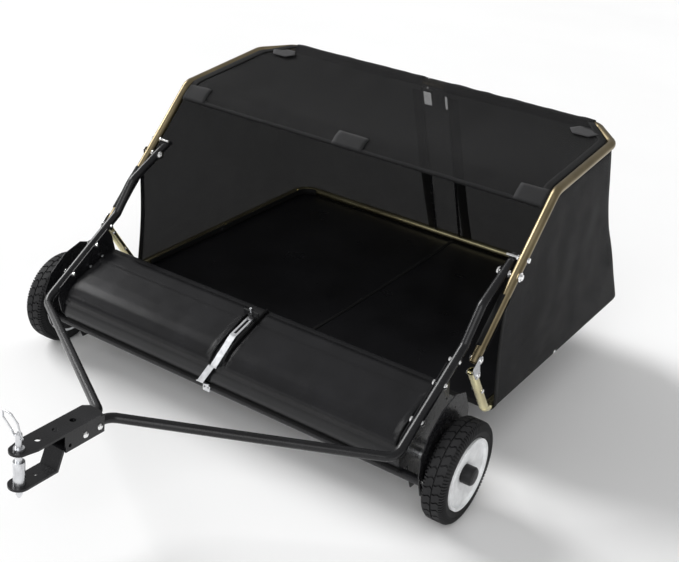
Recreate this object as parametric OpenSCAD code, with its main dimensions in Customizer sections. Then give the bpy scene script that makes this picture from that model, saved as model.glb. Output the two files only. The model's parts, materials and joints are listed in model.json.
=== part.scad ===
// Tow-behind lawn sweeper. Millimetres, +Z up, ground at Z = 0, towed toward -Y, +X is the
// machine's right-hand side when seen from the hitch. Inside the modules Y is measured from the
// wheel axle; in_frame() then moves the part so that Y = 0 is the middle of its length.

/* [Hopper] */
// Outside width over the hopper's side tubes
hopper_width = 1270; // [900:10:1400]
// Outside height from the floor tubes to the top tube
hopper_height = 625; // [500:5:700]
// Axle to the centre of the top rear tube
top_rear_y = 935; // [800:5:1000]
// Axle to the centre of the floor's rear tube
floor_rear_y = 1217; // [1100:1:1300]
// Height of the top rear tube's centre
top_rear_z = 805; // [700:5:850]
// Front bend of the top side tubes, behind the axle
top_bend_y = 470; // [420:5:520]
// Height of that bend
top_bend_z = 746; // [650:1:780]
// Lower joint of the side tubes, behind the axle
joint_y = 117; // [100:1:140]
// Height of the lower joint
joint_z = 360; // [340:1:380]
// Front corner of the floor tubes, behind the axle
floor_front_y = 259; // [240:1:280]
// Height of that corner
floor_front_z = 178; // [160:1:200]
// Dump pivot, behind the axle
pivot_y = 299; // [280:1:320]

/* [Tubes] */
// Outside diameter of every frame tube
tube_od = 25; // [20:1:32]
// Tube wall thickness
tube_wall = 1.5; // [1:0.25:3]
// Centre-line radius of the tube bends
bend_r = 45; // [35:5:70]

/* [Bag] */
// Thickness of the coated fabric panels
bag_t = 1.2; // [0.6:0.2:4]
// Gap between the tubes and the fabric
bag_gap = 0.3; // [0.2:0.1:1]

/* [Sweeper housing] */
// Inside width between the two side plates
housing_in_w = 1152; // [900:2:1200]
// Side plate thickness
plate_t = 3; // [2:0.5:5]
// Cover sheet thickness
cover_t = 1.5; // [1:0.25:3]
// Height of the pressed panels above the cover sheet
emboss_h = 5; // [2:0.5:8]

/* [Wheels and drive] */
// Wheel diameter over the tread
wheel_d = 280; // [230:5:320]
// Tread width
tyre_w = 60; // [40:2:80]
// Outer face of the wheel disc, from the middle of the machine
wheel_face_x = 717; // [650:1:760]
// Diameter of the wheel disc
disc_d = 196; // [150:2:220]
// Axle diameter
axle_d = 16; // [12:1:20]
// Gear module
gear_m = 2.5; // [2:0.25:3]
// Teeth of the ring gear inside each wheel
ring_teeth = 64; // [48:4:80]
// Teeth of the pinion on the brush shaft
pinion_teeth = 12; // [10:1:16]

/* [Brush] */
// Diameter over the bristles
brush_d = 244; // [180:2:250]
// Length of the bristle rows
brush_len = 1110; // [800:10:1130]
// Brush shaft diameter
shaft_d = 16; // [12:1:20]
// Angle of the brush shaft below the axle at the lowest setting
shaft_angle = 7; // [0:1:12]

/* [Drawbar and hitch] */
// Centre of the drawbar side tubes from the middle of the machine
drawbar_x = 591.5; // [540:0.5:600]
// Lower corner of the drawbar tubes, ahead of the axle
drawbar_corner_y = 168; // [140:2:200]
// Height of that corner
drawbar_corner_z = 215; // [190:5:240]
// Hitch pin, ahead of the axle
pin_y = 832; // [700:2:900]
// Diameter of the hitch pin
pin_d = 16; // [12:1:20]
// Spacing of the holes in the hitch strap
hole_pitch = 56; // [40:2:70]
// Height of the hitch strap's top face
strap_top_z = 291; // [250:1:320]

/* [View] */
// Piece to draw

/* [Hidden] */
$fn = 64;
tube_r = tube_od / 2;
bore_r = tube_r - tube_wall;
side_x = hopper_width / 2 - tube_r;
floor_rear_z = top_rear_z - (hopper_height - tube_od);
joint = [joint_y, joint_z];
bend = [top_bend_y, top_bend_z];
top_rear = [top_rear_y, top_rear_z];
floor_front = [floor_front_y, floor_front_z];
floor_rear = [floor_rear_y, floor_rear_z];
corner_x = 82;
corner_y = 92;
// a point on a side line at a given distance behind the axle
function on_line(a, b, y) = [y, a.y + (b.y - a.y) * (y - a.x) / (b.x - a.x)];
pivot = on_line(joint, bend, pivot_y);
corner_yz = on_line(bend, top_rear, top_rear_y - corner_y);
hem = on_line(joint, bend, top_bend_y - 34);
riser_bolt = on_line(joint, floor_front, 190);
floor_mid = on_line(floor_front, floor_rear, 712);
floor_bolt = floor_mid - 26 * (floor_rear - floor_front) / norm(floor_rear - floor_front);
floor_round = 60;

plate_in = housing_in_w / 2;
plate_out = plate_in + plate_t;
arm_joint = [104, 396];
arm_bend = [192, 502];
arm_dir = (pivot - arm_bend) / norm(pivot - arm_bend);
arm_end = pivot + arm_dir * 62;
// the stop bolt crosses the hopper's side tube where it rests on top of the arm's end
side_dir = (bend - joint) / norm(bend - joint);
stop_bolt = pivot + side_dir * (tube_r + 4.05) / (arm_dir.x * side_dir.y - arm_dir.y * side_dir.x);
// drawbar side tube line, used for its two bolts
drawbar_corner = [-drawbar_corner_y, drawbar_corner_z];
drawbar_bolts = [on_line(drawbar_corner, arm_joint, -76), on_line(drawbar_corner, arm_joint, 20)];
tube_front = [-560, 259];
channel_front = -716;
channel_len = 128;
channel_bolts = [channel_front + 64, channel_front + 112];
channel_half = 14 + tube_r + 0.2;
channel_wall = 3.5;

axle_z = wheel_d / 2;
ring_r = gear_m * ring_teeth / 2;
pinion_r = gear_m * pinion_teeth / 2;
shaft_reach = ring_r - pinion_r;
shaft_y = shaft_reach * cos(shaft_angle);
shaft_z = axle_z - shaft_reach * sin(shaft_angle);
pitch_deg = 360 / ring_teeth;
swing = 2 * pitch_deg;
hanger_x = 637;
hanger_t = 3;
front_tube_yz = [-84, 122];
pinion_x = 650;
pinion_w = 22;
wheel_mid_x = wheel_face_x - 35;
rim_r = disc_d / 2;
run = 0.05;

// cover profile from its rear edge forward and down, outer face
cover_profile = [[83, 313], [60, 309], [20, 295], [-40, 271], [-72, 257], [-92, 245], [-107, 230],
                 [-115, 212], [-117, 196]];
apron_profile = [[-110, 201], [-114, 184], [-113, 166], [-107, 148], [-98, 140]];
slot_y = [-8, 44];
slot_w = 10;
halves_x = 16;

// the strap's rounded front end and the rear edge of the bag's floor set the middle of the length
strap_r = 24;
floor_overhang = 21;
front_end = -(pin_y + channel_half);
rear_end = floor_rear_y + floor_overhang;
y_shift = -(front_end + rear_end) / 2;

steel = [0.72, 0.73, 0.75];
black = [0.06, 0.06, 0.065];
bronze = [0.42, 0.34, 0.16];
cloth = [0.05, 0.05, 0.055];
white = [0.93, 0.93, 0.92];
rubber = [0.04, 0.04, 0.04];

// ---------- vectors and shared shapes ----------

function unit(v) = v / norm(v);
function mix_points(a, b, t) = a + (b - a) * t;
function turn_between(a, b) = acos(max(-1, min(1, unit(a) * unit(b))));
// corner i of a path: distance from the corner to where its bend starts
function setback(p, i, r) = r * tan(turn_between(p[i] - p[i - 1], p[i + 1] - p[i]) / 2);
function at_side(side, p) = [side * side_x, p.x, p.y];

module in_frame() {
  translate([0, y_shift, 0]) children();
}

module mirror_to(side) {
  mirror([side < 0 ? 1 : 0, 0, 0]) children();
}

// straight rod from a to b
module rod(a, b, r) {
  d = b - a;
  translate(a)
    rotate([0, acos(d.z / norm(d)), atan2(d.y, d.x)])
      cylinder(r = r, h = norm(d), $fn = 32);
}

// bend at corner i of path p, hollow when inner > 0
module elbow(p, i, bend, r, inner) {
  d1 = unit(p[i] - p[i - 1]);
  d2 = unit(p[i + 1] - p[i]);
  turn = turn_between(d1, d2);
  start = p[i] - d1 * setback(p, i, bend);
  centre = p[i] + unit(d2 - d1) * bend / cos(turn / 2);
  e1 = unit(start - centre);
  e3 = cross(e1, d1);
  multmatrix([[e1.x, d1.x, e3.x, centre.x], [e1.y, d1.y, e3.y, centre.y], [e1.z, d1.z, e3.z, centre.z],
              [0, 0, 0, 1]])
    rotate_extrude(angle = turn, $fn = 96)
      translate([bend, 0]) difference() {
        circle(r = r, $fn = 32);
        if (inner > 0) circle(r = inner, $fn = 32);
      }
}

// rod or tube bent along a path, open at both ends; the bends are a little thicker than the
// straight pieces, which run a short way into them
thicker = 0.2;
module bent(p, bend, r, wall = 0) {
  last = len(p) - 1;
  into = sqrt(thicker * bend);
  for (i = [0:last - 1]) {
    d = unit(p[i + 1] - p[i]);
    a = i == 0 ? p[0] : p[i] + d * (setback(p, i, bend) - into);
    b = i == last - 1 ? p[last] : p[i + 1] - d * (setback(p, i + 1, bend) - into);
    difference() {
      rod(a, b, r);
      if (wall > 0) rod(a - d, b + d, r - wall);
    }
  }
  for (i = [1:1:last - 1]) elbow(p, i, bend, r + thicker, wall > 0 ? r - wall - thicker : 0);
}

// profile in the Y-Z plane, extruded from x0 to x1
module side_profile(x0, x1) {
  translate([x0, 0, 0])
    rotate([90, 0, 90])
      linear_extrude(height = x1 - x0)
        children();
}

module side_polygon(x0, x1, points) {
  side_profile(x0, x1) polygon(points);
}

module along_x(x0, x1, yz, r) {
  translate([x0, yz.x, yz.y])
    rotate([0, 90, 0])
      cylinder(r = r, h = x1 - x0);
}

module hex_x(x0, x1, yz, flats) {
  translate([x0, yz.x, yz.y])
    rotate([0, 90, 0])
      cylinder(d = flats / cos(30), h = x1 - x0, $fn = 6);
}

// domed bolt through x0..x1 with its head beyond x1 and its nut beyond x0
module bolt_x(x0, x1, yz, r, nut = 5) {
  along_x(x0 - nut - 1.5, x1, yz, r);
  hex_x(x0 - nut, x0, yz, 3.4 * r);
  translate([x1, yz.x, yz.y])
    rotate([0, 90, 0])
      rotate_extrude()
        polygon([[0, 0], [2.1 * r, 0], [2.1 * r, 0.4 * r], [1.5 * r, 1.0 * r], [0.7 * r, 1.3 * r],
                 [0, 1.35 * r]]);
}

// left-hand normals give a second line at distance d from a profile
function line_normal(a, b) = let (u = unit(b - a)) [-u.y, u.x];
function shifted(p, d) = [for (i = [0:len(p) - 1])
    let (n1 = line_normal(p[max(i - 1, 0)], p[max(i, 1)]),
         n2 = line_normal(p[min(i, len(p) - 2)], p[min(i + 1, len(p) - 1)]),
         n = unit(n1 + n2))
      p[i] + n * d / (n * n1)];
function backward(p) = [for (i = [len(p) - 1:-1:0]) p[i]];
function strip(p, d0, d1) = concat(shifted(p, d0), backward(shifted(p, d1)));

// ---------- gears ----------

function inv_deg(a) = tan(a) * 180 / PI - a;
// half angle of a tooth at radius r; flank below the base circle runs straight in
function half_tooth(r, n, slack) =
  let (rp = gear_m * n / 2, rb = rp * cos(20), a = acos(min(1, rb / max(r, rb))))
    90 / n + inv_deg(20) - inv_deg(a) + slack;
function gear_points(n, top, root, slack) =
  let (rp = gear_m * n / 2,
       radii = [for (k = [0:3]) rp - root * gear_m + k * (top + root) * gear_m / 3])
    [for (t = [0:n - 1], s = [-1, 1], k = [0:3])
        let (r = radii[s < 0 ? k : 3 - k], a = 360 * t / n + s * half_tooth(r, n, slack))
          [r * cos(a), r * sin(a)]];

// ---------- sweeper frame ----------

// cover sheet with a pressed panel that leaves a border of plain sheet all round
module cover_half(x0, x1, border0, border1) {
  side_polygon(x0, x1, strip(cover_profile, 0, cover_t));
  panel = [for (i = [1:len(cover_profile) - 2]) cover_profile[i]];
  difference() {
    side_polygon(x0 + border0, x1 - border1, strip(panel, -emboss_h, 0));
    side_polygon(x0 + border0 + 6, x1 - border1 - 6,
                 strip([for (i = [1:len(panel) - 2]) panel[i]], cover_t - emboss_h, 0.01));
  }
}

module cover_left() {
  color(black) in_frame() difference() {
    cover_half(-plate_in + 0.3, halves_x - 0.3, 14, 40);
    translate([-slot_w / 2, slot_y[0], 250]) cube([slot_w, slot_y[1] - slot_y[0], 80]);
  }
}

module cover_right() {
  color(black) in_frame() {
    cover_half(halves_x, plate_in - 0.3, 14, 14);
    // raised flange along the joint
    side_polygon(halves_x, halves_x + 2, strip([for (i = [0:6]) cover_profile[i]], -9, 0));
  }
}

module front_apron() {
  color(black) in_frame() difference() {
    union() {
      side_polygon(-plate_in + 0.3, plate_in - 0.3, strip(apron_profile, 0, cover_t));
      // folded lip
      side_polygon(-plate_in + 0.3, plate_in - 0.3, [[-97, 141], [-97, 138.5], [-112, 136], [-112, 137.5]]);
    }
    // notch that lets the height lever pass
    translate([lever_x - 15, -125, 130]) cube([30, 26, 11]);
  }
}

module side_plate(side) {
  top = [for (p = [[-130, 0], [66, 0]]) on_line(drawbar_corner, arm_joint, p.x) + [0, 9]];
  mirror_to(side) difference() {
    side_polygon(plate_in, plate_out,
        [top[0], top[1], [86, 354], [104, 300], [122, 220], [124, 150], [104, 84], [70, 52], [-30, 52],
         [-50, 90], [-62, 138], [-100, 142], [-122, 172], [-134, 212]]);
    // arc slot for the brush shaft, centred on the axle
    for (step = [0:3]) {
      a0 = -shaft_angle + swing * step / 3;
      along_x(plate_in - 1, plate_out + 1, [shaft_reach * cos(a0), axle_z + shaft_reach * sin(a0)], 15);
    }
    along_x(plate_in - 1, plate_out + 1, [0, axle_z], axle_d / 2 + run);
    for (b = drawbar_bolts) along_x(plate_in - 1, plate_out + 1, b, 4 + run);
    // two spare fixing holes
    for (z = [200, 260]) along_x(plate_in - 1, plate_out + 1, [100, z], 3.5);
  }
  // inward flange that carries the cover
  mirror_to(side)
    side_polygon(plate_in - 18, plate_in,
                 strip([for (i = [0:5]) cover_profile[i]], cover_t + 0.2, cover_t + 2.2));
}

module side_plate_left() {
  color(black) in_frame() side_plate(-1);
}

module side_plate_right() {
  color(black) in_frame() side_plate(1);
}

// angle bar that ties the side plates together behind the brush
module cross_stiffener() {
  color(black) in_frame()
    side_polygon(-plate_in + 0.3, plate_in - 0.3,
                 [[86, 304], [108, 300], [108, 298], [88, 301.6], [88, 284], [86, 284]]);
}

module axle(side) {
  mirror_to(side) {
    along_x(plate_in - 8, wheel_face_x + 6, [0, axle_z], axle_d / 2);
    along_x(plate_in - 10, plate_in - 0.3, [0, axle_z], 15);
    along_x(wheel_face_x - 1.2, wheel_face_x + 1.2, [0, axle_z], axle_d / 2 + 4);
  }
}

module axle_left() {
  color(steel) in_frame() axle(-1);
}

module axle_right() {
  color(steel) in_frame() axle(1);
}

module axle_sleeves() {
  color(steel) in_frame() for (side = [-1, 1]) mirror_to(side) difference() {
    along_x(plate_out + 0.05, hanger_x - 0.5, [0, axle_z], 14);
    along_x(plate_out - 1, hanger_x + 1, [0, axle_z], axle_d / 2 + run);
  }
}

function drawbar_path(side) = [
  [side * 14, channel_front + 30, tube_front.y],
  [side * 14, tube_front.x, tube_front.y],
  [side * drawbar_x, drawbar_corner.x, drawbar_corner.y],
  [side * drawbar_x, arm_joint.x, arm_joint.y]];

module drawbar(side) {
  difference() {
    bent(drawbar_path(side), bend_r, tube_r, tube_wall);
    for (b = concat(drawbar_bolts, [arm_bolt]))
      mirror_to(side) along_x(drawbar_x - 20, drawbar_x + 20, b, (b == arm_bolt ? 3 : 4) + run);
    for (y = channel_bolts) along_x(-60, 60, [y, tube_front.y], 4 + run);
  }
}
arm_bolt = on_line(drawbar_corner, arm_joint, 84);

module drawbar_left() {
  color(black) in_frame() drawbar(-1);
}

module drawbar_right() {
  color(black) in_frame() drawbar(1);
}

// channel that holds both tube ends, open toward the ground
module hitch_channel() {
  low = tube_front.y - tube_r - 8;
  top = strap_top_z - 6;
  out = channel_half + channel_wall;
  color(black) in_frame() difference() {
    translate([-out, channel_front, low]) cube([2 * out, channel_len, top - low]);
    translate([-channel_half, channel_front - 1, low - 1])
      cube([2 * channel_half, channel_len + 2, top - channel_wall - low + 1]);
    for (k = [2, 3]) translate([0, -pin_y + k * hole_pitch, 200]) cylinder(r = pin_d / 2 + 0.1, h = 100);
    for (y = channel_bolts) along_x(-60, 60, [y, tube_front.y], 4 + run);
    along_x(-60, 60, [channel_front + 14, tube_front.y - 6], 5);
  }
}

// flat strap with a round front end and four holes
module hitch_upper_strap() {
  half = 31;
  back = channel_front + channel_len;
  color(black) in_frame() difference() {
    translate([0, 0, strap_top_z - 6]) linear_extrude(height = 6) union() {
      translate([0, -pin_y]) circle(r = strap_r);
      polygon([[-strap_r, -pin_y], [strap_r, -pin_y], [half, -pin_y + 30], [half, back - 14],
               [half - 14, back], [14 - half, back], [-half, back - 14], [-half, -pin_y + 30]]);
    }
    for (k = [0:3])
      translate([0, -pin_y + k * hole_pitch, strap_top_z - 10])
        cylinder(r = pin_d / 2 + 0.1, h = 20);
  }
}

// stepped bracket under the channel, with a lower strap for the hitch pin
lower_top = 200;
module hitch_lower_bracket() {
  base = tube_front.y - tube_r;
  color(black) in_frame() difference() {
    union() {
      side_polygon(-channel_half, channel_half,
          [[channel_front + channel_len - 4, base - 0.1], [channel_front - 6, base - 0.1],
           [channel_front - 26, lower_top], [-pin_y, lower_top], [-pin_y, lower_top - 6],
           [channel_front - 20, lower_top - 6], [channel_front - 1, base - 6],
           [channel_front + channel_len - 4, base - 6]]);
      translate([0, -pin_y, lower_top - 6]) cylinder(r = channel_half, h = 6);
    }
    translate([0, -pin_y, lower_top - 10]) cylinder(r = pin_d / 2 + 0.1, h = 20);
    translate([0, -pin_y + 50, lower_top - 10]) cylinder(r = 5, h = 20);
  }
}

module bolt_down(x, y, z0, z1, r) {
  translate([x, y, z0 - 7]) cylinder(r = r, h = z1 - z0 + 7);
  translate([x, y, z0 - 6]) cylinder(d = 3.4 * r / cos(30), h = 6, $fn = 6);
  translate([x, y, z1])
    rotate_extrude()
      polygon([[0, 0], [2 * r, 0], [2 * r, 0.4 * r], [1.4 * r, r], [0, 1.3 * r]]);
}

module hitch_bolts() {
  out = channel_half + channel_wall;
  color(white) in_frame() for (y = channel_bolts) bolt_x(-out, out, [y, tube_front.y], 4);
}

module frame_bolts() {
  color(white) in_frame() for (side = [-1, 1]) mirror_to(side) {
    for (b = drawbar_bolts) bolt_x(plate_in, drawbar_x + tube_r, b, 4);
    bolt_x(drawbar_x - tube_r, drawbar_x + tube_r, arm_bolt, 3, 4);
  }
}

module cover_screws() {
  color(steel) in_frame() for (side = [-1, 1], k = [1, 2]) {
    a = cover_profile[k + 1];
    b = cover_profile[k];
    m = (a + b) / 2;
    translate([side * (plate_in - 7), m.x, m.y])
      rotate([atan2(b.y - a.y, b.x - a.x), 0, 0])
        rotate_extrude()
          polygon([[0, 0], [5, 0], [4, 2], [0, 3]]);
  }
}

// upper arm: swaged lower end inside the drawbar tube, upper end running past the dump pivot
module arm(side) {
  along = unit(arm_joint - drawbar_corner);
  function p3(p) = [side * drawbar_x, p.x, p.y];
  shoulder = arm_joint + along * 0.4;
  difference() {
    union() {
      bent([p3(arm_joint + along * 6), p3(arm_joint + along * 24), p3(arm_bend), p3(arm_end)], 30, tube_r,
           tube_wall);
      rod(p3(shoulder), p3(arm_joint + along * 9), tube_r + thicker);
      rod(p3(shoulder - along * 34), p3(shoulder + along * 3), bore_r - run);
    }
    mirror_to(side) {
      along_x(drawbar_x - 20, drawbar_x + 20, arm_bolt, 3 + run);
      along_x(drawbar_x - 20, drawbar_x + 20, pivot, 5 + run);
    }
  }
}

module arm_left() {
  color(black) in_frame() arm(-1);
}

module arm_right() {
  color(black) in_frame() arm(1);
}

// the dump pivot bolts are clamped to the arms; the hopper turns on them
module pivot_bolts() {
  color(white) in_frame() for (side = [-1, 1]) mirror_to(side) {
    along_x(drawbar_x - tube_r - 8, side_x + tube_r + 8, pivot, 5);
    along_x(drawbar_x - tube_r - 2, drawbar_x - tube_r, pivot, 13);
    hex_x(drawbar_x - tube_r - 7, drawbar_x - tube_r - 2, pivot, 16);
    along_x(drawbar_x + tube_r + 0.5, side_x - tube_r - 0.5, pivot, 10);
    along_x(side_x + tube_r + 0.4, side_x + tube_r + 2.4, pivot, 13);
    hex_x(side_x + tube_r + 2.4, side_x + tube_r + 7.4, pivot, 16);
  }
}

module pin_spacer() {
  color(steel) in_frame() difference() {
    translate([0, -pin_y, lower_top]) cylinder(r = 14, h = 60);
    translate([0, -pin_y, lower_top - 1]) cylinder(r = pin_d / 2 + run, h = 62);
  }
}

// ---------- wheels ----------

module wheel_disc(side) {
  inner = wheel_mid_x - 29.5;
  face = wheel_face_x;
  mirror_to(side) translate([0, 0, axle_z]) rotate([0, 90, 0]) difference() {
    rotate_extrude($fn = 96)
      polygon([[5, wheel_mid_x - 26], [18, wheel_mid_x - 26], [18, face - 20], [44, face - 12],
               [70, face - 9], [89, face - 9], [92, face - 3], [rim_r - 3, face - 3],
               [rim_r - 3, inner], [rim_r + 6, inner],
               [rim_r + 6, inner + 2], [rim_r, inner + 4], [rim_r, face], [90, face], [87, face - 6],
               [70, face - 6], [44, face - 9], [18, face - 17], [18, face - 2], [5, face - 2]]);
    translate([0, 0, wheel_mid_x - 40]) cylinder(r = axle_d / 2 + run, h = 90);
  }
}

module wheel_disc_left() {
  color(white) in_frame() wheel_disc(-1);
}

module wheel_disc_right() {
  color(white) in_frame() wheel_disc(1);
}

// tyre section with a shallow centre groove
module tyre(side) {
  r0 = wheel_d / 2;
  w = tyre_w / 2;
  mirror_to(side) translate([0, 0, axle_z]) rotate([0, 90, 0]) translate([0, 0, wheel_mid_x + 2])
    rotate_extrude($fn = 128)
      polygon([[rim_r + 0.1, -27], [rim_r + 6.2, -w + 1], [rim_r + 14, -w - 1], [r0 - 16, -w],
               [r0 - 6, -w + 3], [r0 - 1, -w + 8], [r0, -w + 14], [r0, -2], [r0 - 4, -1], [r0 - 4, 1],
               [r0, 2], [r0, w - 14],
               [r0 - 1, w - 8], [r0 - 6, w - 3], [r0 - 16, w], [rim_r + 14, w + 1], [rim_r + 4, w],
               [rim_r + 0.1, w - 3]]);
}

module tyre_left() {
  color(rubber) in_frame() tyre(-1);
}

module tyre_right() {
  color(rubber) in_frame() tyre(1);
}

// ring gear moulded as a separate ring and pressed into the wheel disc
module ring_gear(side) {
  mirror_to(side) translate([pinion_x, 0, axle_z]) rotate([90, 0, 90]) difference() {
    cylinder(r = rim_r - 3, h = pinion_w + 6, $fn = 96);
    translate([0, 0, -1])
      rotate(-shaft_angle)
        linear_extrude(height = pinion_w + 3)
          polygon(gear_points(ring_teeth, 1.15, 0.8, 0.35));
    translate([0, 0, -1]) cylinder(r = ring_r - 6, h = pinion_w + 20);
  }
}

module ring_gear_left() {
  color(rubber) in_frame() ring_gear(-1);
}

module ring_gear_right() {
  color(rubber) in_frame() ring_gear(1);
}

module hub_cap(side) {
  mirror_to(side) translate([0, 0, axle_z]) rotate([0, 90, 0]) translate([0, 0, wheel_face_x - 8])
    rotate_extrude()
      polygon([[19, -8.6], [25, -6.7], [25, 18], [22, 22], [14, 24.5], [0, 25.5], [0, 22.5], [13, 21.5],
               [19, 19], [22, 17], [22, 0], [19, -1]]);
}

module hub_cap_left() {
  color(rubber) in_frame() hub_cap(-1);
}

module hub_cap_right() {
  color(rubber) in_frame() hub_cap(1);
}

// ---------- height adjustment: hangers that swing about the axle ----------

module hanger(side) {
  mirror_to(side) difference() {
    side_polygon(hanger_x, hanger_x + hanger_t,
        [[-100, 92], [-112, 122], [-126, 160], [-130, 214], [-106, 268], [-50, 314], [16, 334], [70, 318],
         [104, 262], [118, 180], [112, 104], [82, 70], [0, 58], [-66, 76]]);
    along_x(hanger_x - 1, hanger_x + hanger_t + 1, [0, axle_z], axle_d / 2 + run);
    along_x(hanger_x - 1, hanger_x + hanger_t + 1, [shaft_y, shaft_z], 12 + run);
    along_x(hanger_x - 1, hanger_x + hanger_t + 1, front_tube_yz, 4 + run);
    for (k = [0:3]) along_x(hanger_x - 1, hanger_x + hanger_t + 1, [20 + 14 * k, 296 - 18 * k], 3);
  }
}

module hanger_left() {
  color(black) in_frame() hanger(-1);
}

module hanger_right() {
  color(black) in_frame() hanger(1);
}

module front_tube() {
  color(black) in_frame() difference() {
    along_x(-hanger_x + 0.05, hanger_x - 0.05, front_tube_yz, tube_r);
    for (s = [-1, 1]) mirror_to(s) along_x(40, hanger_x + 1, front_tube_yz, bore_r);
    lever_fixings();
  }
}

// end plugs with their screws
module tube_end_caps() {
  color(white) in_frame() for (side = [-1, 1]) mirror_to(side) {
    along_x(hanger_x - 22, hanger_x - 0.05, front_tube_yz, bore_r - 0.1);
    along_x(hanger_x - 1, hanger_x + hanger_t, front_tube_yz, 4);
    along_x(hanger_x + hanger_t, hanger_x + hanger_t + 4, front_tube_yz, 10);
  }
}

lever_x = -42;
lever_w = 20;
stud_yz = [30, 309.7];
stud_dir = unit([-33, 100]);

module lever_fixings() {
  for (dx = [-6, 6])
    translate([lever_x + dx, front_tube_yz.x - 20, front_tube_yz.y])
      rotate([-90, 0, 0]) cylinder(r = 2.5 + run, h = 40);
}

// zinc strap: bracket on the front tube, a sideways jog, then the slotted bar over the cover
module height_lever() {
  seat = front_tube_yz.x - tube_r - 0.05;
  color(steel) in_frame() difference() {
    union() {
      side_polygon(lever_x - 12, lever_x + 12,
          [[seat - 3, 110], [seat, 110], [seat, 134], [-129, 154], [-132, 152], [seat - 3, 134]]);
      multmatrix([[1, 0, 0.55, lever_x], [0, 1, 0, -132], [0, 0, 1, 152], [0, 0, 0, 1]])
        translate([-lever_w / 2, 0, 0]) cube([lever_w, 3, 64]);
      side_polygon(-lever_w / 2, lever_w / 2,
          strip([[-132, 214], [-131, 219], [-54, 282], [46, 315]], 0, -3));
    }
    multmatrix([[1, 0, 0, 0], [0, stud_dir.y, stud_dir.x, stud_yz.x], [0, -stud_dir.x, stud_dir.y, stud_yz.y],
                [0, 0, 0, 1]]) translate([0, 0, -10]) cylinder(r = 4 + run, h = 20);
    // long slot
    multmatrix([[1, 0, 0, 0], [0, stud_dir.y, stud_dir.x, -8], [0, -stud_dir.x, stud_dir.y, 297.2],
                [0, 0, 0, 1]]) translate([-4, -38, -8]) cube([8, 62, 16]);
    lever_fixings();
  }
}

// carriage bolt whose shank runs in the cover's slot
module lever_stud() {
  color(steel) in_frame()
    multmatrix([[1, 0, 0, 0], [0, stud_dir.y, stud_dir.x, stud_yz.x], [0, -stud_dir.x, stud_dir.y, stud_yz.y],
                [0, 0, 0, 1]]) {
      translate([0, 0, -32]) cylinder(r = 4, h = 62);
      translate([0, 0, -34]) cylinder(r = 9, h = 4);
      translate([0, 0, -7]) cylinder(r = 9, h = 3);
    }
}

// wing knob
module lever_knob() {
  color(black) in_frame()
    multmatrix([[1, 0, 0, 0], [0, stud_dir.y, stud_dir.x, stud_yz.x], [0, -stud_dir.x, stud_dir.y, stud_yz.y],
                [0, 0, 0, 1]]) difference() {
      union() {
        translate([0, 0, 1]) cylinder(r = 9, h = 12);
        for (s = [0, 180]) rotate(s) translate([6, -2.5, 4]) cube([18, 5, 16]);
      }
      translate([0, 0, -1]) cylinder(r = 4 + run, h = 30);
    }
}

module shaft_bushes() {
  color(rubber) in_frame() for (side = [-1, 1]) mirror_to(side) difference() {
    union() {
      along_x(hanger_x - 5, hanger_x + hanger_t, [shaft_y, shaft_z], 12);
      along_x(hanger_x - 6, hanger_x - 0.05, [shaft_y, shaft_z], 16);
    }
    along_x(hanger_x - 8, hanger_x + 8, [shaft_y, shaft_z], shaft_d / 2 + run);
  }
}

// ---------- brush ----------

module at_shaft() {
  translate([0, shaft_y, shaft_z]) rotate([90, 0, 90]) children();
}

disc_xs = [for (k = [0:4]) -brush_len / 2 + 30 + k * (brush_len - 60) / 4];
holder_r = 36;
shaft_half = pinion_x + pinion_w + 4;

module brush_shaft() {
  color(steel) in_frame() at_shaft()
    translate([0, 0, -shaft_half]) cylinder(r = shaft_d / 2, h = 2 * shaft_half);
}

module brush_discs() {
  color(steel) in_frame() at_shaft() for (x = disc_xs) translate([0, 0, x - 3]) difference() {
    cylinder(r = holder_r - 0.1, h = 6);
    translate([0, 0, -1]) cylinder(r = shaft_d / 2, h = 8);
    for (a = [45:90:315]) rotate(a) translate([22, 0, -1]) cylinder(r = 6, h = 8);
  }
}

// four channels that grip the bristle rows
module brush_holders() {
  color(steel) in_frame() at_shaft() for (a = [0:90:270]) rotate(a)
    translate([0, 0, -brush_len / 2]) linear_extrude(height = brush_len)
      polygon([[holder_r, -9], [holder_r + 18, -9], [holder_r + 18, -6.1], [holder_r + 3, -7.1],
               [holder_r + 3, 7.1], [holder_r + 18, 6.1], [holder_r + 18, 9], [holder_r, 9]]);
}

module bristle_rows() {
  tip = brush_d / 2;
  color(rubber) in_frame() at_shaft() for (a = [0:90:270]) rotate(a)
    translate([0, 0, -brush_len / 2]) linear_extrude(height = brush_len)
      polygon([[holder_r + 3.1, -6.9], [holder_r + 18, -5.9], [tip - 1, -8.5], [tip - 0.4, 0], [tip - 1, 8.5],
               [holder_r + 18, 5.9], [holder_r + 3.1, 6.9]]);
}

// pinion with a ratchet hub, driven by the wheel's ring gear
module pinion(side) {
  mirror_to(side) translate([pinion_x, shaft_y, shaft_z]) rotate([90, 0, 90]) difference() {
    union() {
      rotate(-shaft_angle)
        linear_extrude(height = pinion_w)
          polygon(gear_points(pinion_teeth, 0.85, 1.1, -0.6));
      translate([0, 0, -9]) cylinder(r = 11, h = 12);
    }
    translate([0, 0, -10]) cylinder(r = shaft_d / 2 + run, h = 60);
  }
}

module pinion_left() {
  color(steel) in_frame() pinion(-1);
}

module pinion_right() {
  color(steel) in_frame() pinion(1);
}

// ---------- hitch pin ----------

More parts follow.
